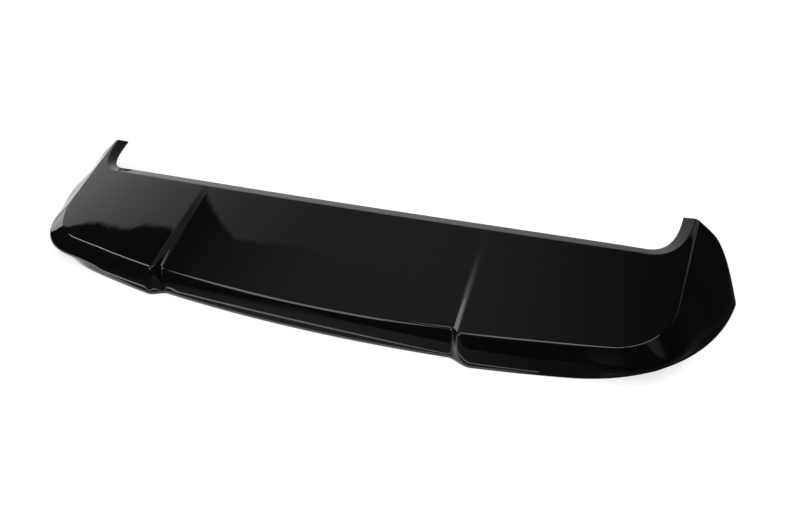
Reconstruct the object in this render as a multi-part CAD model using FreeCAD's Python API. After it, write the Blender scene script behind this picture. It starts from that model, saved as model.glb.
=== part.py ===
import FreeCAD, Part
import math, os
from FreeCAD import Vector

os.makedirs("parts", exist_ok=True)

# Driving dimensions in mm. X runs across the car, +Y towards its front, Z up from the lip's edge.
# Heights are measured from the plane the lip stands on.
WALL = 3.0                 # sheet after forming
CHORD = 181.5              # front edge to rear crease of the side fields, on the centre line
REAR_BOW = 2155.0          # plan radius of the rear crease
HALF_CREASE = 533.5        # centre line to the straight side crease
CREASE_CORNER = 85.0       # plan radius where rear crease turns into side crease
FRONT_BOW = 4741.0         # plan radius of the front edge, hollow towards the roof
HORN_START_IN = 65.5       # the front edge begins to turn into the horn this far inside the side crease
HORN_REACH = 102.0         # panel's end at the horn tip, ahead of the middle of the front edge
TIP_SLANT = 0.3            # slope in plan of the cut across the horn tip
HORN_TIP_IN = 5.0          # width of the panel that is left at the horn tip
KNEE_SHARE = 0.45          # share of the horn edge that the section through the lip's point reaches
HORN_KNEE_IN = 5.8         # where front edge and horn edge would meet if they were not rounded:
HORN_KNEE_AHEAD = 23.0     # inside the side crease, and ahead of the middle of the front edge

PANEL_HEIGHT = 82.3        # panel at the middle of the front edge
PANEL_SLOPE = 0.179        # fall towards the rear
FRONT_CROWN = 4562.0       # side to side crown at the front edge
REAR_CROWN = 7184.0        # side to side crown at the rear crease

STEP_AT = 260.0            # middle of the step between fields, at the rear crease
STEP_WIDE = 16.0           # width of the sloping step there
STEP_LIP_AT = 265.0        # middle of the step at the lip, where it has spread
STEP_LIP_WIDE = 38.0
STEP_DEEP = 8.0            # drop of the centre field at the rear; it dies out at the front edge
STEP_BACK = 12.5           # rear crease of the centre field lies this much further forward
STEP_SPLAY = 0.04          # steps open out towards the rear

BEVEL_WIDE = 14.0          # sloping strip along the front edge
BEVEL_DROP = 4.0
HORN_BEVEL = 17.0          # the same strip at the horn tip
HORN_DROP = 6.0

LIP_BACK = 18.2            # lip of the side fields behind their crease, drawn to the centre line
LIP_BOW = 2400.0
LIP_CENTRE_BACK = 14.5     # lip of the centre field behind its crease
LIP_CENTRE_BOW = 3300.0
LIP_TURN_IN = 121.0        # the lip leaves its bow this far inside the side crease to turn the corner
LIP_POINT_OUT = 66.2       # widest point of the lip outside the side crease
LIP_POINT_AHEAD = 11.4     # and ahead of the middle of the front edge
LIP_LEAN = (0.105, 1.0)    # direction of the lip as it reaches that point
LIP_PULL = (118.0, 88.0)   # how far each end of the corner stays straight
LIP_SWELL_OUT = 45.6       # fullness of the lip between that point and the horn tip
LIP_SWELL_BACK = 12.4
LIP_TIP_OUT = 13.9         # lip outside the side crease at the horn tip
LIP_FACE = 5.0             # upright strip at the lip
LIP_FACE_TIP = 3.0
LIP_SWEEP = 2.07           # how late the lip's edge sweeps up to the horn tip
TIP_FALL = 16.7            # edge of the lip below the crease at the horn tip
LIP_DRAFT = 0.04
TRIM = 2.0                 # the sheet is formed this far past the lip's edge and trimmed off flat

CREASE_ROUND = 8.0
FRONT_ROUND = 5.0
LIP_ROUND = 4.0
BULGE = 0.05               # fullness of the band as a share of its width

# A ridge grows out of the rear band, is boldest in the corner and runs down to the lip's widest point.
RIDGE_OUT = 40.0           # ridge outside the crease in the corner
RIDGE_FALL = 14.3          # and below it
RIDGE_ROUND = 14.0
RIDGE_AT = 0.54            # it is boldest at this share of the corner's arc
RIDGE_SPREAD = 158.0       # and starts this far before that along the crease
RIDGE_END = 0.88           # where it ends, as a share of the way from crease to lip

# Places that follow from them, in plan.
HORN_START = HALF_CREASE - HORN_START_IN
HORN_KNEE = Vector(HALF_CREASE - HORN_KNEE_IN, HORN_KNEE_AHEAD, 0)
HORN_TIP = Vector(HALF_CREASE - HORN_TIP_IN, HORN_REACH, 0)
LIP_TURN = HALF_CREASE - LIP_TURN_IN
LIP_REAR = CHORD + LIP_BACK
LIP_CENTRE = CHORD - STEP_BACK + LIP_CENTRE_BACK
LIP_POINT = Vector(HALF_CREASE + LIP_POINT_OUT, LIP_POINT_AHEAD, 0)
LIP_SWELL = Vector(HALF_CREASE + LIP_SWELL_OUT, HORN_REACH - LIP_SWELL_BACK, 0)
LIP_TIP = HORN_TIP + Vector(1, -TIP_SLANT, 0) * (HORN_TIP_IN + LIP_TIP_OUT)


def smooth(r):
    """Goes from 0 to 1 with level ends."""
    r = min(max(r, 0.0), 1.0)
    return r * r * (3 - 2 * r)


def panel_z(x, y):
    front = 0.5 / FRONT_CROWN
    rear = 0.5 / REAR_CROWN
    crown = front + (front - rear) * y / CHORD
    return PANEL_HEIGHT + PANEL_SLOPE * y - crown * x * x


# Rear crease: a wide bow, a tangent corner and a straight side.
TURN = math.asin((HALF_CREASE - CREASE_CORNER) / (REAR_BOW - CREASE_CORNER))
CORNER_Y = REAR_BOW - CHORD - (REAR_BOW - CREASE_CORNER) * math.cos(TURN)
S_BOW = REAR_BOW * TURN
S_CORNER = S_BOW + CREASE_CORNER * (math.pi / 2 - TURN)
S_TIP = S_CORNER + HORN_REACH - TIP_SLANT * HORN_TIP_IN - CORNER_Y


def crease(s):
    """Plan point of the side fields' crease, s mm along it from the centre line."""
    if s < S_BOW:
        a = s / REAR_BOW
        return Vector(REAR_BOW * math.sin(a), REAR_BOW * (1 - math.cos(a)) - CHORD, 0)
    if s < S_CORNER:
        a = TURN + (s - S_BOW) / CREASE_CORNER
        x = HALF_CREASE - CREASE_CORNER + CREASE_CORNER * math.sin(a)
        return Vector(x, CORNER_Y - CREASE_CORNER * math.cos(a), 0)
    return Vector(HALF_CREASE, CORNER_Y + s - S_CORNER, 0)


def bow(x, depth, radius):
    return Vector(x, depth + radius - math.sqrt(radius * radius - x * x), 0)


def bezier(points, t):
    """Point of a Bezier curve from its control points."""
    while len(points) > 1:
        points = [a + (b - a) * t for a, b in zip(points, points[1:])]
    return points[0]


def front(t):
    """Front edge: 0 to 1 the bow, 1 to 2 the horn's inner edge."""
    if t < 1:
        return bow(t * HORN_START, 0, FRONT_BOW)
    return bezier([bow(HORN_START, 0, FRONT_BOW), HORN_KNEE, HORN_TIP], t - 1)


def rim(t):
    """Outer edge of the bevel, square off the front edge."""
    run = front(t + 0.001) - front(t - 0.001)
    wide = BEVEL_WIDE + (HORN_BEVEL - BEVEL_WIDE) * smooth(t - 1)
    return front(t) + Vector(-run.y, run.x, 0).normalize() * wide


def lip(t):
    """Lip of the side fields: 0 to 1 the rear bow, 1 to 2 the corner, 2 to 3 forward to the horn tip."""
    if t < 1:
        return bow(t * LIP_TURN, -LIP_REAR, LIP_BOW)
    if t < 2:
        start = bow(LIP_TURN, -LIP_REAR, LIP_BOW)
        along = Vector(1, LIP_TURN / LIP_BOW, 0).normalize()
        lean = Vector(*LIP_LEAN, 0).normalize()
        pulled = LIP_POINT - lean * LIP_PULL[1]
        return bezier([start, start + along * LIP_PULL[0], pulled, LIP_POINT], t - 1)
    return bezier([LIP_POINT, LIP_SWELL, LIP_TIP], t - 2)


def centre_lip_bow(t):
    return bow(t * LIP_TURN, -LIP_CENTRE, LIP_CENTRE_BOW)


def meet(curve, first, last, start, way):
    """Where a line from start along way crosses a plan curve."""
    def side(t):
        return (curve(t) - start).cross(way).z
    n = 60
    for i in range(n):
        a = first + (last - first) * i / n
        b = first + (last - first) * (i + 1) / n
        if side(a) * side(b) <= 0:
            for _ in range(40):
                m = (a + b) / 2
                if side(a) * side(m) <= 0:
                    b = m
                else:
                    a = m
            return curve(a)
    raise ValueError("a section misses an edge")


# Along the crease: where the step ends, the section that runs through the lip's point, and the ridge.
STEP_ENDS = (min(STEP_AT - STEP_WIDE / 2, STEP_LIP_AT - STEP_LIP_WIDE / 2),
             max(STEP_AT + STEP_WIDE / 2, STEP_LIP_AT + STEP_LIP_WIDE / 2))
S_STEP = STEP_ENDS[1]
KNEE = front(1 + KNEE_SHARE)
POINT_SHARE = (HALF_CREASE - KNEE.x) / (LIP_POINT.x - KNEE.x)
S_POINT = S_CORNER - CORNER_Y + KNEE.y + (LIP_POINT.y - KNEE.y) * POINT_SHARE
S_RIDGE = S_BOW + (S_CORNER - S_BOW) * RIDGE_AT


POINT_WAY = (LIP_POINT - KNEE).normalize()
TIP_WAY = Vector(1, -TIP_SLANT, 0).normalize()


def splay(s):
    return Vector(STEP_SPLAY * s / STEP_AT, -1, 0).normalize()


FAN_START = meet(front, 0, 1, crease(S_STEP), splay(S_STEP))


def station(s):
    """One upright section: crease point, way outwards, front edge, rim, lip, and 1 for a side field."""
    field = smooth((s - STEP_AT) / STEP_WIDE + 0.5)
    corner = crease(s) + Vector(0, STEP_BACK * (1 - field), 0)
    if s <= S_STEP:
        way = splay(s)
        edge = meet(front, 0, 1, corner, way)
        at = edge.x / HORN_START
        side_lip = meet(lip, 0, 1, corner, way)
        centre_lip = meet(centre_lip_bow, 0, 1, corner, way)
        spread = smooth((s - STEP_LIP_AT) / STEP_LIP_WIDE + 0.5)
        foot = centre_lip + (side_lip - centre_lip) * spread
        outer = meet(rim, at - 0.4, at + 0.4, edge, way)
    elif s < S_POINT:
        bow_run = HORN_START - FAN_START.x
        knee_run = (KNEE - front(1)).Length
        run = (bow_run + knee_run) * (s - S_STEP) / (S_POINT - S_STEP)
        at = min((FAN_START.x + run) / HORN_START, 1) + KNEE_SHARE * max(0, run - bow_run) / knee_run
        edge = front(at)
        way = (corner - edge).normalize()
        foot = meet(lip, 0, 2.05, corner, way)
        outer = meet(rim, at - 0.4, at + 0.4, edge, way)
    else:
        way = (POINT_WAY + (TIP_WAY - POINT_WAY) * ((s - S_POINT) / (S_TIP - S_POINT))).normalize()
        edge = meet(front, 1.1, 2.1, corner, way)
        foot = meet(lip, 1.95, 3.05, corner, way)
        outer = meet(rim, 1.1, 2.4, edge, way)
    return corner, way, edge, outer, foot, field


def profile(s):
    """Corners of one section, as distance outwards from the crease and height, and the ridge's radius."""
    corner, way, edge, outer, foot, field = station(s)
    z_crease = panel_z(corner.x, corner.y) - STEP_DEEP * (1 - field)
    z_edge = panel_z(edge.x, edge.y)
    horn = smooth((edge.y - front(1).y) / (HORN_REACH - front(1).y))
    z_rim = z_edge - BEVEL_DROP - (HORN_DROP - BEVEL_DROP) * horn
    depth = (corner - edge).Length
    out = (foot - corner).Length
    wide = (outer - edge).Length
    ahead = (foot.y - LIP_POINT.y) / (LIP_TIP.y - LIP_POINT.y)
    tip_z = panel_z(HALF_CREASE, HORN_REACH) - TIP_FALL
    z_line = tip_z * max(0.0, ahead) ** LIP_SWEEP
    z_lip = z_line + LIP_FACE + (LIP_FACE_TIP - LIP_FACE) * smooth(ahead)
    z_foot = z_line - TRIM
    drop = z_crease - z_lip
    band = math.hypot(out, drop)
    if s < S_RIDGE:
        fade = smooth((S_RIDGE - s) / RIDGE_SPREAD)
        share = 0.5
        radius = RIDGE_ROUND + (2.0 * band - RIDGE_ROUND) * fade
    else:
        fade = smooth((s - S_RIDGE) / (S_POINT - S_RIDGE))
        share = RIDGE_END
        radius = RIDGE_ROUND
    plain = Vector(out, -drop, 0) * share + Vector(drop, out, 0) * BULGE
    bold = Vector(RIDGE_OUT, -RIDGE_FALL, 0)
    ridge = bold + (plain - bold) * fade
    return [(-depth - wide, z_rim), (-depth, z_edge), (0, z_crease),
            (ridge.x, z_crease + ridge.y), (out, z_lip),
            (out + LIP_DRAFT * (z_lip - z_foot), z_foot)], radius


def rounded(points, radii):
    """Lines and arcs of an open path with its inner corners rounded."""
    path = []
    last = points[0]
    for before, here, after, radius in zip(points, points[1:], points[2:], radii):
        a = (before - here).normalize()
        b = (after - here).normalize()
        half = a.getAngle(b) / 2
        run = min(radius / math.tan(half), 0.45 * (before - here).Length, 0.45 * (after - here).Length)
        radius = run * math.tan(half)
        middle = (a + b).normalize()
        start = here + a * run
        end = here + b * run
        crown = here + middle * (radius / math.sin(half) - radius)
        path.append(Part.LineSegment(last, start).toShape())
        path.append(Part.Arc(start, crown, end).toShape())
        last = end
    path.append(Part.LineSegment(last, points[-1]).toShape())
    return path


def inset(points, depth):
    """The same path moved inwards by depth; it ends level with the outer path."""
    lines = []
    for a, b in zip(points, points[1:]):
        run = (b - a).normalize()
        square = Vector(run.y, -run.x, 0) * depth
        lines.append((a + square, run))
    moved = [lines[0][0]]
    for (p, u), (q, v) in zip(lines, lines[1:]):
        across = u.cross(v).z
        if abs(across) < 1e-6:
            moved.append(q)
        else:
            moved.append(p + u * ((q - p).cross(v).z / across))
    p, u = lines[-1]
    moved.append(p + u * ((points[-1].y - p.y) / u.y))
    return moved


def section(s):
    """Closed wire of one section of the sheet, standing where it belongs."""
    corner, way = station(s)[:2]
    corners, ridge_round = profile(s)
    outer = [Vector(a, b, 0) for a, b in corners]
    inner = inset(outer, WALL)
    radii = [FRONT_ROUND, CREASE_ROUND, ridge_round, LIP_ROUND]
    edges = rounded(outer, radii)
    edges.append(Part.LineSegment(outer[-1], inner[-1]).toShape())
    edges += reversed(rounded(inner, [r - WALL for r in radii]))
    edges.append(Part.LineSegment(inner[0], outer[0]).toShape())
    wire = Part.Wire(Part.__sortEdges__(edges))
    upright = FreeCAD.Matrix(way.x, 0, -way.y, corner.x,
                             way.y, 0, way.x, corner.y,
                             0, 1, 0, 0,
                             0, 0, 0, 1)
    return wire.transformGeometry(upright)


def sections(first, last, count):
    return [section(first + (last - first) * i / (count - 1)) for i in range(count)]


def mirrored(shape):
    return shape.mirror(Vector(0, 0, 0), Vector(1, 0, 0))


def is_end(face):
    """True for the flat face that closes a loft; its outline is a whole section."""
    return len(face.Edges) > 8


# The centre field is lofted from step to step, so that it runs smoothly through the middle.
half = sections(0, STEP_ENDS[0], 5)
centre = Part.makeLoft([mirrored(w) for w in half[:0:-1]] + half, True)
step = Part.makeLoft(sections(*STEP_ENDS, 13), True)
side = Part.makeLoft(sections(S_STEP, S_POINT, 25), True)
horn = Part.makeLoft(sections(S_POINT, S_TIP, 6), True)

# Neighbouring lofts share a section, so without their ends they sew into one closed skin.
halves = [step, side, horn, mirrored(step), mirrored(side), mirrored(horn)]
skin = []
for loft in [centre] + halves:
    skin += [f for f in loft.Faces if not is_end(f)]
for loft in (horn, mirrored(horn)):
    skin.append(max(filter(is_end, loft.Faces), key=lambda f: f.CenterOfMass.y))
shell = Part.makeCompound(skin)
shell.sewShape()
spoiler = Part.Solid(shell.Shells[0])
if spoiler.Volume < 0:
    spoiler.reverse()

# Trimmed flat along the lip.
reach = 2 * (LIP_POINT.x + LIP_REAR)
waste = Part.makeBox(2 * reach, 2 * reach, 4 * TRIM, Vector(-reach, -reach, -4 * TRIM))
spoiler = spoiler.cut(waste).Solids[0]

# The origin goes to the middle of the footprint.
front_most = station(S_TIP)[3].y
rear_most = min(station(s)[4].y for s in (0, S_STEP)) - LIP_DRAFT * LIP_FACE
spoiler.translate(Vector(0, -(front_most + rear_most) / 2, 0))

spoiler.exportStep("parts/spoiler_shell.step")
print("spoiler_shell", spoiler.isValid(), len(shell.Shells), round(spoiler.Volume), "mm3", spoiler.BoundBox)
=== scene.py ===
# %% [markdown]
# # A gloss-black roof spoiler cap
# The cap is one thin sheet of black plastic, formed over a mould and trimmed. It has two raised side
# fields, a lower centre field between two steps, a rounded crease, a band that falls to the rear lip,
# and two horns that reach forward. Almost all of its look is reflection, so this lesson spends its
# effort on a smooth skin, and on what that skin has to reflect.

# %% tools and frame
import math

import bpy
from mathutils import Matrix, Vector


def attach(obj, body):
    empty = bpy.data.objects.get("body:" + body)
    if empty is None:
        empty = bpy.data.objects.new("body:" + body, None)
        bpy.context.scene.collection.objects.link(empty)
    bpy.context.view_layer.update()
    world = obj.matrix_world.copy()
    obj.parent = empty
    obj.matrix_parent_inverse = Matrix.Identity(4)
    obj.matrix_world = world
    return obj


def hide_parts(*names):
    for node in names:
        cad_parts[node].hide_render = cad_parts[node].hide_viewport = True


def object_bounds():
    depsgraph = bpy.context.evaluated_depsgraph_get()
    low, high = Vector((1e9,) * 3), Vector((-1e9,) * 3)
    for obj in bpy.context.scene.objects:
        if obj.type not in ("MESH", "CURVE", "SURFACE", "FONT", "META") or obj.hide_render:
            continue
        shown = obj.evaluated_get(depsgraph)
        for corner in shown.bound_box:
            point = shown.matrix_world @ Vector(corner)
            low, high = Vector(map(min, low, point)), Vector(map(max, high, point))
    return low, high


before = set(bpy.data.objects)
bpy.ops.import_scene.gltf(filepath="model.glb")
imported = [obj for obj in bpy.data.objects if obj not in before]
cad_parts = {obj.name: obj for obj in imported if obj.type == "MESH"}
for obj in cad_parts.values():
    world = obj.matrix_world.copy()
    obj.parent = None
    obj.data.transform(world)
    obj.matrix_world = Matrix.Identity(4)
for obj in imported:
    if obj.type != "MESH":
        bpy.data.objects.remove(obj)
cad_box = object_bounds()
print("frame loaded, CAD box", cad_box)

# %% [markdown]
# ## Sizes
# The skin follows the same rules as the CAD solid, so the same sizes come first. They are in mm.
# X runs across the car, +Y towards its front, and Z up from the plane the lip stands on.

# %% sizes
WALL = 3.0
CHORD, REAR_BOW, HALF_CREASE, CREASE_CORNER = 181.5, 2155.0, 533.5, 85.0
FRONT_BOW, HORN_REACH, HORN_TIP_IN, TIP_SLANT, KNEE_SHARE = 4741.0, 102.0, 5.0, 0.3, 0.45
HORN_START_IN, HORN_KNEE_IN, HORN_KNEE_AHEAD = 65.5, 5.8, 23.0
PANEL_HEIGHT, PANEL_SLOPE, FRONT_CROWN, REAR_CROWN = 82.3, 0.179, 4562.0, 7184.0
STEP_AT, STEP_WIDE, STEP_DEEP, STEP_BACK, STEP_SPLAY = 260.0, 16.0, 8.0, 12.5, 0.04
STEP_LIP_AT, STEP_LIP_WIDE = 265.0, 38.0
BEVEL_WIDE, BEVEL_DROP, HORN_BEVEL, HORN_DROP = 14.0, 4.0, 17.0, 6.0
LIP_BACK, LIP_BOW, LIP_CENTRE_BACK, LIP_CENTRE_BOW = 18.2, 2400.0, 14.5, 3300.0
LIP_TURN_IN, LIP_POINT_OUT, LIP_POINT_AHEAD = 121.0, 66.2, 11.4
LIP_SWELL_OUT, LIP_SWELL_BACK, LIP_TIP_OUT = 45.6, 12.4, 13.9
LIP_LEAN, LIP_PULL = (0.105, 1.0), (118.0, 88.0)
LIP_FACE, LIP_FACE_TIP, LIP_SWEEP, TIP_FALL, LIP_DRAFT = 5.0, 3.0, 2.07, 16.7, 0.04
CREASE_ROUND, FRONT_ROUND, LIP_ROUND, BULGE = 8.0, 5.0, 4.0, 0.05
RIDGE_OUT, RIDGE_FALL, RIDGE_ROUND = 40.0, 14.3, 14.0
RIDGE_AT, RIDGE_SPREAD, RIDGE_END = 0.54, 158.0, 0.88
TRIM = 2.0
MM_PER_M = 1000

# Places that follow from them, in plan. Most are measured from the straight side crease.
HORN_START = HALF_CREASE - HORN_START_IN
HORN_KNEE = Vector((HALF_CREASE - HORN_KNEE_IN, HORN_KNEE_AHEAD))
HORN_TIP = Vector((HALF_CREASE - HORN_TIP_IN, HORN_REACH))
LIP_TURN = HALF_CREASE - LIP_TURN_IN
LIP_REAR = CHORD + LIP_BACK
LIP_CENTRE = CHORD - STEP_BACK + LIP_CENTRE_BACK
LIP_POINT = Vector((HALF_CREASE + LIP_POINT_OUT, LIP_POINT_AHEAD))
LIP_SWELL = Vector((HALF_CREASE + LIP_SWELL_OUT, HORN_REACH - LIP_SWELL_BACK))
LIP_TIP = HORN_TIP + Vector((1, -TIP_SLANT)) * (HORN_TIP_IN + LIP_TIP_OUT)
print("sheet", WALL, "mm thick, crease", 2 * HALF_CREASE, "mm across")

# %% [markdown]
# ## Plan curves
# Four lines seen from above rule the shape: the crease, the front edge with the horn, the bevel's rim,
# and the lip. Each is made of arcs and short Bezier curves.

# %% plan curves
TURN = math.asin((HALF_CREASE - CREASE_CORNER) / (REAR_BOW - CREASE_CORNER))
CORNER_Y = REAR_BOW - CHORD - (REAR_BOW - CREASE_CORNER) * math.cos(TURN)
S_BOW = REAR_BOW * TURN
S_CORNER = S_BOW + CREASE_CORNER * (math.pi / 2 - TURN)
S_TIP = S_CORNER + HORN_REACH - TIP_SLANT * HORN_TIP_IN - CORNER_Y


def smooth(r):
    """Goes softly from 0 to 1 with r."""
    r = min(max(r, 0.0), 1.0)
    return r * r * (3 - 2 * r)


def panel_z(x, y):
    """Height of the side fields, crowned from side to side."""
    front_crown, rear_crown = 0.5 / FRONT_CROWN, 0.5 / REAR_CROWN
    crown = front_crown + (front_crown - rear_crown) * y / CHORD
    return PANEL_HEIGHT + PANEL_SLOPE * y - crown * x * x


def crease(s):
    """The side fields' crease, s mm along it from the centre line."""
    if s < S_BOW:
        a = s / REAR_BOW
        return Vector((REAR_BOW * math.sin(a), REAR_BOW * (1 - math.cos(a)) - CHORD))
    if s < S_CORNER:
        a = TURN + (s - S_BOW) / CREASE_CORNER
        x = HALF_CREASE - CREASE_CORNER + CREASE_CORNER * math.sin(a)
        return Vector((x, CORNER_Y - CREASE_CORNER * math.cos(a)))
    return Vector((HALF_CREASE, CORNER_Y + s - S_CORNER))


def bow(x, depth, radius):
    """A wide arc, hollow towards the front, that starts at depth on the centre line."""
    return Vector((x, depth + radius - math.sqrt(radius * radius - x * x)))


def bezier(points, t):
    """A point of a Bezier curve with any number of control points."""
    while len(points) > 1:
        points = [a + (b - a) * t for a, b in zip(points, points[1:])]
    return points[0]


def front(t):
    """Front edge: 0 to 1 the bow, 1 to 2 the horn's inner edge."""
    if t < 1:
        return bow(t * HORN_START, 0, FRONT_BOW)
    return bezier([bow(HORN_START, 0, FRONT_BOW), HORN_KNEE, HORN_TIP], t - 1)


def rim(t):
    """Outer edge of the bevel, square off the front edge."""
    run = front(t + 0.001) - front(t - 0.001)
    wide = BEVEL_WIDE + (HORN_BEVEL - BEVEL_WIDE) * smooth(t - 1)
    return front(t) + Vector((-run.y, run.x)).normalized() * wide


def lip(t):
    """Lip: 0 to 1 the rear bow, 1 to 2 the corner, 2 to 3 forward to the horn tip."""
    if t < 1:
        return bow(t * LIP_TURN, -LIP_REAR, LIP_BOW)
    if t < 2:
        start = bow(LIP_TURN, -LIP_REAR, LIP_BOW)
        along = Vector((1, LIP_TURN / LIP_BOW)).normalized()
        lean = Vector(LIP_LEAN).normalized()
        pulled = LIP_POINT - lean * LIP_PULL[1]
        return bezier([start, start + along * LIP_PULL[0], pulled, LIP_POINT], t - 1)
    return bezier([LIP_POINT, LIP_SWELL, LIP_TIP], t - 2)


def centre_lip(t):
    """Lip of the centre field."""
    return bow(t * LIP_TURN, -LIP_CENTRE, LIP_CENTRE_BOW)


def cross(a, b):
    """Cross product of two plan vectors."""
    return a.x * b.y - a.y * b.x


SEARCH_STEPS, HALVINGS = 60, 30


def meet(curve, first, last, start, way):
    """Where a line from start along way crosses a plan curve."""
    steps = [first + (last - first) * i / SEARCH_STEPS for i in range(SEARCH_STEPS + 1)]
    for a, b in zip(steps, steps[1:]):
        if cross(curve(a) - start, way) * cross(curve(b) - start, way) <= 0:
            for _ in range(HALVINGS):
                m = (a + b) / 2
                if cross(curve(a) - start, way) * cross(curve(m) - start, way) <= 0:
                    b = m
                else:
                    a = m
            return curve(a)
    raise ValueError("a section misses an edge")


STEP_START = min(STEP_AT - STEP_WIDE / 2, STEP_LIP_AT - STEP_LIP_WIDE / 2)
S_STEP = max(STEP_AT + STEP_WIDE / 2, STEP_LIP_AT + STEP_LIP_WIDE / 2)
KNEE = front(1 + KNEE_SHARE)
POINT_SHARE = (HALF_CREASE - KNEE.x) / (LIP_POINT.x - KNEE.x)
S_POINT = S_CORNER - CORNER_Y + KNEE.y + (LIP_POINT.y - KNEE.y) * POINT_SHARE
S_RIDGE = S_BOW + (S_CORNER - S_BOW) * RIDGE_AT
print("half crease is", round(S_TIP), "mm long, horn tip", round(HORN_REACH), "mm ahead")

# %% [markdown]
# ## Upright sections
# A section stands on every point of the crease. In the middle they lie side by side, and past the
# step they fan out round the corner, so each one crosses the crease and the lip cleanly.

# %% sections
POINT_WAY = (LIP_POINT - KNEE).normalized()
TIP_WAY = Vector((1, -TIP_SLANT)).normalized()
RIM_SEARCH = 0.4


def splay(s):
    """Way outwards of the sections in the centre field and its steps."""
    return Vector((STEP_SPLAY * s / STEP_AT, -1)).normalized()


FAN_START = meet(front, 0, 1, crease(S_STEP), splay(S_STEP))


def station(s):
    """Crease point, way outwards, front edge, rim, lip, and 1 for a side field."""
    field = smooth((s - STEP_AT) / STEP_WIDE + 0.5)
    corner = crease(s) + Vector((0, STEP_BACK * (1 - field)))
    if s <= S_STEP:
        way = splay(s)
        edge = meet(front, 0, 1, corner, way)
        at = edge.x / HORN_START
        middle_lip = meet(centre_lip, 0, 1, corner, way)
        step_at_lip = smooth((s - STEP_LIP_AT) / STEP_LIP_WIDE + 0.5)
        foot = middle_lip + (meet(lip, 0, 1, corner, way) - middle_lip) * step_at_lip
        outer = meet(rim, at - RIM_SEARCH, at + RIM_SEARCH, edge, way)
    elif s < S_POINT:
        bow_run = HORN_START - FAN_START.x
        knee_run = (KNEE - front(1)).length
        run = (bow_run + knee_run) * (s - S_STEP) / (S_POINT - S_STEP)
        at = min((FAN_START.x + run) / HORN_START, 1) + KNEE_SHARE * max(0, run - bow_run) / knee_run
        edge = front(at)
        way = (corner - edge).normalized()
        foot = meet(lip, 0, 2.05, corner, way)
        outer = meet(rim, at - RIM_SEARCH, at + RIM_SEARCH, edge, way)
    else:
        way = (POINT_WAY + (TIP_WAY - POINT_WAY) * ((s - S_POINT) / (S_TIP - S_POINT))).normalized()
        edge = meet(front, 1.1, 2.1, corner, way)
        foot = meet(lip, 1.95, 3.05, corner, way)
        outer = meet(rim, 1.1, 2.4, edge, way)
    return corner, way, edge, outer, foot, field


print("sections fan out from", round(S_STEP), "mm along the crease")

# %% [markdown]
# ## What a section looks like
# Six corners make a section: the bevel's rim, the front edge, the crease, the ridge, and the top and
# bottom of the lip. The ridge is flat in the middle, bold in the corner, and fades again towards the
# lip's widest point.

# %% profile
FLAT_RIDGE = 2.0


def profile(s):
    """Corners of a section, as distance outwards from the crease and height, and the ridge's radius."""
    corner, way, edge, outer, foot, field = station(s)
    z_crease = panel_z(corner.x, corner.y) - STEP_DEEP * (1 - field)
    z_edge = panel_z(edge.x, edge.y)
    horn = smooth((edge.y - front(1).y) / (HORN_REACH - front(1).y))
    z_rim = z_edge - BEVEL_DROP - (HORN_DROP - BEVEL_DROP) * horn
    depth, out, wide = (corner - edge).length, (foot - corner).length, (outer - edge).length
    ahead = (foot.y - LIP_POINT.y) / (LIP_TIP.y - LIP_POINT.y)
    z_line = (panel_z(HALF_CREASE, HORN_REACH) - TIP_FALL) * max(0.0, ahead) ** LIP_SWEEP
    z_lip = z_line + LIP_FACE + (LIP_FACE_TIP - LIP_FACE) * smooth(ahead)
    z_foot = max(0.0, z_line - TRIM)
    drop = z_crease - z_lip
    if s < S_RIDGE:
        fade = smooth((S_RIDGE - s) / RIDGE_SPREAD)
        share, radius = 0.5, RIDGE_ROUND + (FLAT_RIDGE * math.hypot(out, drop) - RIDGE_ROUND) * fade
    else:
        fade = smooth((s - S_RIDGE) / (S_POINT - S_RIDGE))
        share, radius = RIDGE_END, RIDGE_ROUND
    plain = Vector((out, -drop)) * share + Vector((drop, out)) * BULGE
    bold = Vector((RIDGE_OUT, -RIDGE_FALL))
    ridge = bold + (plain - bold) * fade + Vector((0, z_crease))
    corners = [(-depth - wide, z_rim), (-depth, z_edge), (0, z_crease), ridge, (out, z_lip),
               (out + LIP_DRAFT * (z_lip - z_foot), z_foot)]
    return [Vector(p) for p in corners], radius


print("corners of the middle section:", [tuple(round(v, 1) for v in p) for p in profile(0)[0]])

# %% [markdown]
# ## Rounded lines
# The inner face lies one wall below the outer one. Both are then drawn as lines with rounded corners,
# with many points where the light will show the smallest flat.

# %% rounded lines
MOST_OF_A_SIDE = 0.45


def inset(points):
    """The inner face of the sheet: the same path, one wall further in."""
    lines = []
    for a, b in zip(points, points[1:]):
        run = (b - a).normalized()
        lines.append((a + Vector((run.y, -run.x)) * WALL, run))
    moved = [lines[0][0]]
    for (p, u), (q, v) in zip(lines, lines[1:]):
        across = cross(u, v)
        moved.append(q if abs(across) < 1e-6 else p + u * (cross(q - p, v) / across))
    p, u = lines[-1]
    moved.append(p + u * ((points[-1].y - p.y) / u.y))
    return moved


def rounded(points, radii, counts, runs):
    """Points along a path with rounded corners: runs on each straight, counts round each corner."""
    path, last = [], points[0]
    corners = zip(points, points[1:], points[2:], radii, counts, runs)
    for before, here, after, radius, count, run_count in corners:
        a, b = (before - here).normalized(), (after - here).normalized()
        half = a.angle(b) / 2
        room = MOST_OF_A_SIDE * min((before - here).length, (after - here).length)
        run = min(radius / math.tan(half), room)
        radius = run * math.tan(half)
        centre = here + (a + b).normalized() * radius / math.sin(half)
        start, end = here + a * run, here + b * run
        path += [last + (start - last) * i / run_count for i in range(run_count)]
        sweep = (start - centre).angle_signed(end - centre)
        for i in range(count):
            path.append(centre + Matrix.Rotation(-sweep * i / count, 2) @ (start - centre))
        last = end
    path += [last + (points[-1] - last) * i / runs[-1] for i in range(runs[-1] + 1)]
    return path


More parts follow.
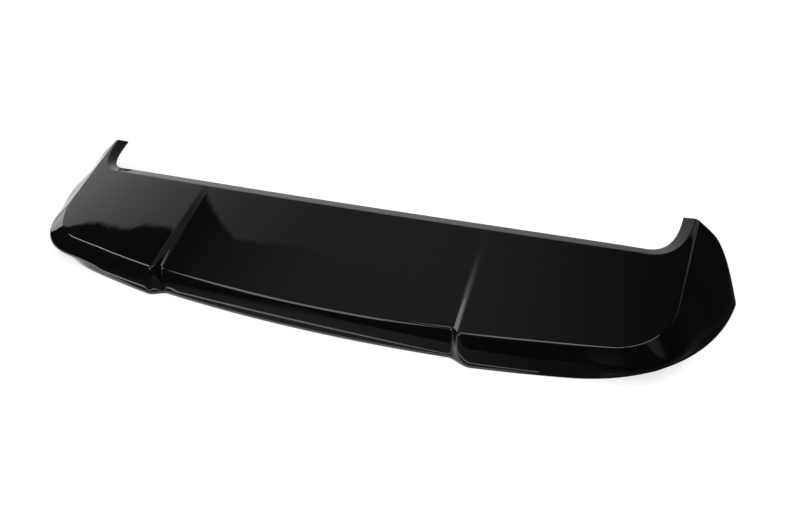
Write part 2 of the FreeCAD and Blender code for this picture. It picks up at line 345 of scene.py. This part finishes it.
def section(s):
    """Outer and inner line of one section, as points in space."""
    corner, way = station(s)[:2]
    corners, ridge_round = profile(s)
    radii = [FRONT_ROUND, CREASE_ROUND, ridge_round, LIP_ROUND]
    counts, runs = [6, 12, 16, 6], [3, 24, 3, 3, 3]
    outer = rounded(corners, radii, counts, runs)
    inner = rounded(inset(corners), [r - WALL for r in radii], counts, runs)
    return [[Vector((corner.x + way.x * p.x, corner.y + way.y * p.x, p.y)) for p in line]
            for line in (outer, inner)]


print("a section has", len(section(0)[0]), "points on each face")

# %% [markdown]
# ## The skin
# The sections are joined with four-sided faces into one closed sheet. The second material is for the
# edge that the trimming cutter leaves.

# %% skin
SHARP_FROM = 40            # degrees between faces from which an edge is drawn hard


def spread(first, last, count):
    """Evenly spaced values from first up to, but not including, last."""
    return [first + (last - first) * i / count for i in range(count)]


def mirror(line):
    """The same line on the left half."""
    return [Vector((-p.x, p.y, p.z)) for p in line]


half = (spread(0, STEP_START, 26) + spread(STEP_START, S_STEP, 28)
        + spread(S_STEP, S_POINT, 110) + spread(S_POINT, S_TIP, 30) + [S_TIP])
right = [section(s) for s in half]
left = [(mirror(outer), mirror(inner)) for outer, inner in right[:0:-1]]
rows = left + right

# The CAD solid stands with its box centred over the floor's middle, so the skin is moved to match.
front_most = station(S_TIP)[3].y
rear_most = min(station(s)[4].y for s in (0, S_STEP)) - LIP_DRAFT * LIP_FACE
shift = Vector((0, -(front_most + rear_most) / 2, 0))

across = len(rows[0][0])
loop = 2 * across
points, faces, cut_faces = [], [], []
for outer, inner in rows:
    points += [(p + shift) / MM_PER_M for p in outer + inner[::-1]]
for r in range(len(rows) - 1):
    for c in range(loop):
        d = (c + 1) % loop
        quad = (r * loop + c, r * loop + d, (r + 1) * loop + d, (r + 1) * loop + c)
        if c in (across - 1, loop - 1):
            cut_faces.append(len(faces))
        faces.append(quad)
for row, flip in ((0, True), (len(rows) - 1, False)):
    for c in range(across - 1):
        quad = [row * loop + c, row * loop + c + 1, row * loop + loop - 2 - c, row * loop + loop - 1 - c]
        cut_faces.append(len(faces))
        faces.append(quad[::-1] if flip else quad)

# The box of the CAD facets is a little short of the true curve at the middle of the lip.
points = [(p[0], max(p[1], cad_box[0][1]), max(p[2], 0.0)) for p in points]
mesh = bpy.data.meshes.new("spoiler_skin")
mesh.from_pydata(points, [], faces)
mesh.validate()
skin = bpy.data.objects.new("spoiler_skin", mesh)
bpy.context.collection.objects.link(skin)
mesh.polygons.foreach_set("use_smooth", [True] * len(mesh.polygons))
mesh.set_sharp_from_angle(angle=math.radians(SHARP_FROM))
print("skin:", len(points), "points,", len(faces), "faces")

# %% [markdown]
# ## Black plastic
# Two shared effects: the slow waves that a formed sheet keeps from its mould, and fine dust that
# dulls the gloss a little.

# %% effects
def new_group(name, inputs, outputs):
    """An empty shader node group, with its input and output nodes."""
    group = bpy.data.node_groups.new(name, "ShaderNodeTree")
    for label, kind, value in inputs:
        socket = group.interface.new_socket(label, in_out="INPUT", socket_type=kind)
        socket.default_value = value
    for label, kind in outputs:
        group.interface.new_socket(label, in_out="OUTPUT", socket_type=kind)
    return group, group.nodes.new("NodeGroupInput"), group.nodes.new("NodeGroupOutput")


def formed_waves():
    """Slow and fine waves of a formed sheet, as a normal."""
    heights = [("Slow waves", "NodeSocketFloat", 0.1), ("Fine waves", "NodeSocketFloat", 0.05)]
    group, given, made = new_group("formed sheet waves", heights, [("Normal", "NodeSocketVector")])
    place = group.nodes.new("ShaderNodeTexCoord")
    slow, fine = group.nodes.new("ShaderNodeTexNoise"), group.nodes.new("ShaderNodeTexNoise")
    slow.inputs["Scale"].default_value, slow.inputs["Detail"].default_value = 9.0, 1.0
    fine.inputs["Scale"].default_value, fine.inputs["Detail"].default_value = 60.0, 2.0
    first, second = group.nodes.new("ShaderNodeBump"), group.nodes.new("ShaderNodeBump")
    first.inputs["Distance"].default_value = 0.01
    second.inputs["Distance"].default_value = 0.001
    link = group.links.new
    link(place.outputs["Object"], slow.inputs["Vector"])
    link(place.outputs["Object"], fine.inputs["Vector"])
    link(slow.outputs["Fac"], first.inputs["Height"])
    link(fine.outputs["Fac"], second.inputs["Height"])
    link(given.outputs["Slow waves"], first.inputs["Strength"])
    link(given.outputs["Fine waves"], second.inputs["Strength"])
    link(first.outputs["Normal"], second.inputs["Normal"])
    link(second.outputs["Normal"], made.inputs["Normal"])
    return group


def fine_dust():
    """Roughness that is lifted in small soft specks."""
    roughness = [("Clean", "NodeSocketFloat", 0.05), ("Dusty", "NodeSocketFloat", 0.1)]
    group, given, made = new_group("fine dust", roughness, [("Roughness", "NodeSocketFloat")])
    place = group.nodes.new("ShaderNodeTexCoord")
    specks = group.nodes.new("ShaderNodeTexNoise")
    specks.inputs["Scale"].default_value, specks.inputs["Detail"].default_value = 140.0, 5.0
    sift = group.nodes.new("ShaderNodeMapRange")
    sift.inputs["From Min"].default_value, sift.inputs["From Max"].default_value = 0.52, 0.75
    link = group.links.new
    link(place.outputs["Object"], specks.inputs["Vector"])
    link(specks.outputs["Fac"], sift.inputs["Value"])
    link(given.outputs["Clean"], sift.inputs["To Min"])
    link(given.outputs["Dusty"], sift.inputs["To Max"])
    link(sift.outputs["Result"], made.inputs["Roughness"])
    return group


waves, dust = formed_waves(), fine_dust()
print("effects:", waves.name, "and", dust.name)

# %% [markdown]
# ## Gloss and trimmed edge
# The gloss face is nearly a black mirror. The trimmed edge is the same plastic, scraped and dull.

# %% materials
PLASTIC_IOR = 1.52


def plastic(name, colour, clean, dusty, slow, fine):
    """Plastic with the two effects: roughness clean and dusty, and height of slow and fine waves."""
    material = bpy.data.materials.new(name)
    material.use_nodes = True
    nodes, link = material.node_tree.nodes, material.node_tree.links.new
    shader = nodes["Principled BSDF"]
    shader.inputs["Base Color"].default_value = (*colour, 1)
    shader.inputs["IOR"].default_value = PLASTIC_IOR
    bump, grime = nodes.new("ShaderNodeGroup"), nodes.new("ShaderNodeGroup")
    bump.node_tree, grime.node_tree = waves, dust
    bump.inputs["Slow waves"].default_value, bump.inputs["Fine waves"].default_value = slow, fine
    grime.inputs["Clean"].default_value, grime.inputs["Dusty"].default_value = clean, dusty
    link(bump.outputs["Normal"], shader.inputs["Normal"])
    link(grime.outputs["Roughness"], shader.inputs["Roughness"])
    return material


gloss = plastic("gloss_black_sheet", (0.0015, 0.0015, 0.0017), 0.02, 0.045, 0.03, 0.015)
trimmed = plastic("trimmed_edge", (0.02, 0.02, 0.021), 0.45, 0.6, 0.0, 0.6)
skin.data.materials.append(gloss)
skin.data.materials.append(trimmed)
for index in cut_faces:
    skin.data.polygons[index].material_index = 1
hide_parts("spoiler_shell")
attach(skin, "root")
print("materials:", [m.name for m in skin.data.materials], "cut faces:", len(cut_faces))

# %% [markdown]
# ## Floor
# The camera sees a white floor with a faint contact shade. The gloss sees that floor white only close
# to the cap, and dark further behind it.

# %% floor
def ramp(tree, source, start, end, low, high):
    """Goes softly from low to high while the source goes from start to end."""
    node = tree.nodes.new("ShaderNodeMapRange")
    node.interpolation_type = "SMOOTHSTEP"
    for label, value in (("From Min", start), ("From Max", end), ("To Min", low), ("To Max", high)):
        node.inputs[label].default_value = value
    tree.links.new(source, node.inputs["Value"])
    return node.outputs["Result"]


def combine(tree, operation, first, second):
    """Joins two values; the second may be a plain number."""
    node = tree.nodes.new("ShaderNodeMath")
    node.operation = operation
    tree.links.new(first, node.inputs[0])
    if isinstance(second, float):
        node.inputs[1].default_value = second
    else:
        tree.links.new(second, node.inputs[1])
    return node.outputs["Value"]


def split(tree, output):
    """X, Y and Z of a texture coordinate."""
    place, parts = tree.nodes.new("ShaderNodeTexCoord"), tree.nodes.new("ShaderNodeSeparateXYZ")
    tree.links.new(place.outputs[output], parts.inputs["Vector"])
    return place.outputs[output], parts.outputs["X"], parts.outputs["Y"], parts.outputs["Z"]


def floor_material():
    """White paper for the camera; for the gloss, dark far behind the cap and white close to it."""
    material = bpy.data.materials.new("white_floor")
    material.use_nodes = True
    tree = material.node_tree
    nodes, link = tree.nodes, tree.links.new
    nodes.clear()
    paper, white = nodes.new("ShaderNodeBsdfDiffuse"), nodes.new("ShaderNodeEmission")
    paper.inputs["Color"].default_value = (0.95, 0.95, 0.95, 1)
    seen, mirrored = nodes.new("ShaderNodeMixShader"), nodes.new("ShaderNodeEmission")
    _, x, y, _ = split(tree, "Object")
    dark_left, dark_right = ramp(tree, x, -0.5, -0.05, 0.02, 0.2), ramp(tree, x, 0.15, 0.45, 1.0, 0.25)
    under_cap, not_right = ramp(tree, y, -0.158, -0.15, 0.0, 1.0), ramp(tree, x, 0.3, 0.4, 1.0, 0.0)
    far = combine(tree, "MULTIPLY", dark_left, dark_right)
    near = combine(tree, "MULTIPLY", under_cap, not_right)
    link(combine(tree, "MAXIMUM", far, near), mirrored.inputs["Strength"])
    rays, out = nodes.new("ShaderNodeLightPath"), nodes.new("ShaderNodeOutputMaterial")
    lift = combine(tree, "MULTIPLY", rays.outputs["Is Camera Ray"], 0.7)
    link(lift, seen.inputs["Fac"])
    link(paper.outputs["BSDF"], seen.inputs[1])
    link(white.outputs["Emission"], seen.inputs[2])
    mix = nodes.new("ShaderNodeMixShader")
    link(rays.outputs["Is Glossy Ray"], mix.inputs["Fac"])
    link(seen.outputs["Shader"], mix.inputs[1])
    link(mirrored.outputs["Emission"], mix.inputs[2])
    link(mix.outputs["Shader"], out.inputs["Surface"])
    return material


bpy.ops.mesh.primitive_plane_add(size=40, location=(0, 0, 0))
floor = bpy.context.object
floor.name = "floor"
floor.data.materials.append(floor_material())
print("floor ready")

# %% [markdown]
# ## Room
# The room that the gloss sees is brightest low in front and on the left, fades upwards and to the
# right, and ends at a dark, ragged edge on the left. A grey patch high up fills the left step.

# %% room
world = bpy.data.worlds.new("room")
bpy.context.scene.world = world
world.use_nodes = True
tree = world.node_tree
nodes, link = tree.nodes, tree.links.new
nodes.clear()
place, x, y, z = split(tree, "Generated")
rag = nodes.new("ShaderNodeTexNoise")
rag.inputs["Scale"].default_value, rag.inputs["Detail"].default_value = 9.0, 3.0
link(place, rag.inputs["Vector"])
ragged = combine(tree, "MULTIPLY", rag.outputs["Fac"], 0.05)
edge = combine(tree, "ADD", combine(tree, "ADD", y, ramp(tree, z, 0.62, 0.82, 0.0, 0.08)), ragged)
lit_side = ramp(tree, edge, 0.299, 0.307, 0.0, 1.0)
brightness = combine(tree, "MULTIPLY", ramp(tree, z, 0.30, 0.88, 1.25, 0.23), lit_side)
brightness = combine(tree, "MAXIMUM", brightness, ramp(tree, z, 0.68, 0.89, 0.02, 0.215))
brightness = combine(tree, "MULTIPLY", brightness, ramp(tree, x, -0.3, 0.22, 1.0, 0.02))
patch_near, patch_far = ramp(tree, y, 0.07, 0.105, 0.0, 1.0), ramp(tree, y, 0.21, 0.26, 1.0, 0.0)
patch = combine(tree, "MULTIPLY", ramp(tree, z, 0.90, 0.935, 0.0, 0.22), patch_near)
patch = combine(tree, "MULTIPLY", patch, patch_far)
brightness = combine(tree, "MAXIMUM", brightness, patch)
bright, dim = nodes.new("ShaderNodeBackground"), nodes.new("ShaderNodeBackground")
bright.inputs["Color"].default_value, bright.inputs["Strength"].default_value = (1, 1, 1, 1), 1.0
dim.inputs["Color"].default_value = (1, 1, 1, 1)
link(brightness, dim.inputs["Strength"])
rays, mix = nodes.new("ShaderNodeLightPath"), nodes.new("ShaderNodeMixShader")
out = nodes.new("ShaderNodeOutputWorld")
link(rays.outputs["Is Glossy Ray"], mix.inputs["Fac"])
link(bright.outputs["Background"], mix.inputs[1])
link(dim.outputs["Background"], mix.inputs[2])
link(mix.outputs["Shader"], out.inputs["Surface"])
print("room ready")

# %% [markdown]
# ## What draws the lines
# Screens behind the cap, beside its corners and overhead draw the bright line along the crease. A dark low
# wall on the left keeps the band below the crease black, and a low screen in front of it lights the left
# flank. Only the gloss sees them. A direction is an azimuth from straight ahead, positive to the right, and
# a height above the floor, in degrees. Distances and sizes are in metres.

# %% screens
def only_for_gloss(thing, strength):
    """Makes a stage object glow, seen in the gloss and nowhere else."""
    material = bpy.data.materials.new(thing.name)
    material.use_nodes = True
    nodes = material.node_tree.nodes
    nodes.clear()
    lamp, end = nodes.new("ShaderNodeEmission"), nodes.new("ShaderNodeOutputMaterial")
    lamp.inputs["Strength"].default_value = strength
    material.node_tree.links.new(lamp.outputs["Emission"], end.inputs["Surface"])
    thing.data.materials.append(material)
    thing.visible_camera = thing.visible_diffuse = thing.visible_shadow = False


def glow(name, azimuth, height, away, size, strength):
    """A screen in a given direction, facing the cap; only the gloss sees it."""
    a, h = math.radians(azimuth), math.radians(height)
    way = Vector((math.sin(a) * math.cos(h), math.cos(a) * math.cos(h), math.sin(h)))
    bpy.ops.mesh.primitive_plane_add(size=1, location=way * away)
    thing = bpy.context.object
    thing.name = name
    thing.scale = (size[0], size[1], 1)
    thing.rotation_euler = (-way).to_track_quat("Z", "Y").to_euler()
    only_for_gloss(thing, strength)


glow("rear_left_screen", -88, 39.5, 10, (2.2, 1.4), 5.0)
glow("left_corner_screen", -82, 33.5, 10, (1.75, 1.2), 5.0)
glow("rear_screen", -145, 32, 10, (6.3, 5.6), 3.0)
glow("overhead_screen", -160, 82, 10, (3.5, 3.5), 3.5)
glow("corner_screen", 37, 71.5, 10, (1.1, 1.7), 5.0)
glow("corner_top_screen", 73, 84, 10, (1.0, 1.8), 5.0)
glow("right_screen", 35, 45, 10, (5.0, 4.3), 0.6)
glow("low_dark_wall", -78, 8, 10, (8.1, 3.9), 0.0)
glow("left_low_screen", -73.5, 11, 9, (2.1, 3.0), 2.2)
print("screens ready")

# %% [markdown]
# ## Ribbon and top light
# A ribbon of light on the floor follows the lip and draws the pale line just above it. The top light
# gives the faint contact shade; the gloss doesn't see it.

# %% ribbon and top light
def lip_strip(near, wide, strength):
    """A narrow lamp on the floor, near mm behind the lip and wide mm across."""
    line = []
    for s in spread(-S_BOW, S_RIDGE - RIDGE_SPREAD, 160):
        _, way, _, _, foot, _ = station(abs(s))
        side = Vector((math.copysign(1, s), 1))
        for away in (near, near + wide):
            spot = (foot + way * away) * side + shift.xy
            line.append((spot.x / MM_PER_M, spot.y / MM_PER_M, 0.001))
    quads = [(i, i + 1, i + 3, i + 2) for i in range(0, len(line) - 2, 2)]
    mesh = bpy.data.meshes.new("lip_strip")
    mesh.from_pydata(line, [], quads)
    thing = bpy.data.objects.new("lip_strip", mesh)
    bpy.context.collection.objects.link(thing)
    only_for_gloss(thing, strength)


lip_strip(24, 5, 2.2)

lamp = bpy.data.lights.new("top_light", "AREA")
lamp.size, lamp.energy = 3.5, 60
top = bpy.data.objects.new("top_light", lamp)
bpy.context.collection.objects.link(top)
top.location = (0.2, -0.2, 3.0)
top.visible_glossy = False
print("ribbon and top light ready")

# %% [markdown]
# ## Camera
# It stands behind the right corner, above and turned a little, as in the photograph. Distances are in
# mm from a point on the floor under the cap.

# %% camera
AZIMUTH, ELEVATION, ROLL = math.radians(33.98), math.radians(45.46), math.radians(-15.22)
ASIDE, ABOVE, AWAY = -128.79, -33.24, 1258.59
CAMERA_AIM = Vector((0, -100, 0))
back = Vector((math.sin(AZIMUTH) * math.cos(ELEVATION), -math.cos(AZIMUTH) * math.cos(ELEVATION),
               math.sin(ELEVATION)))
level = Vector((math.cos(AZIMUTH), math.sin(AZIMUTH), 0))
up = back.cross(level)
right_hand = level * math.cos(ROLL) + up * math.sin(ROLL)
over = up * math.cos(ROLL) - level * math.sin(ROLL)
spot = CAMERA_AIM + shift + back * AWAY - right_hand * ASIDE - over * ABOVE

lens = bpy.data.cameras.new("camera")
lens.sensor_fit, lens.sensor_width, lens.lens = "HORIZONTAL", 36, 36
lens.dof.use_dof = False
camera = bpy.data.objects.new("camera", lens)
bpy.context.collection.objects.link(camera)
turned = Matrix((right_hand, over, back)).transposed().to_4x4()
camera.matrix_world = Matrix.Translation(spot / MM_PER_M) @ turned
bpy.context.scene.camera = camera
bpy.context.scene.view_settings.view_transform = "Standard"
print("camera at", [round(v, 3) for v in camera.matrix_world.translation])
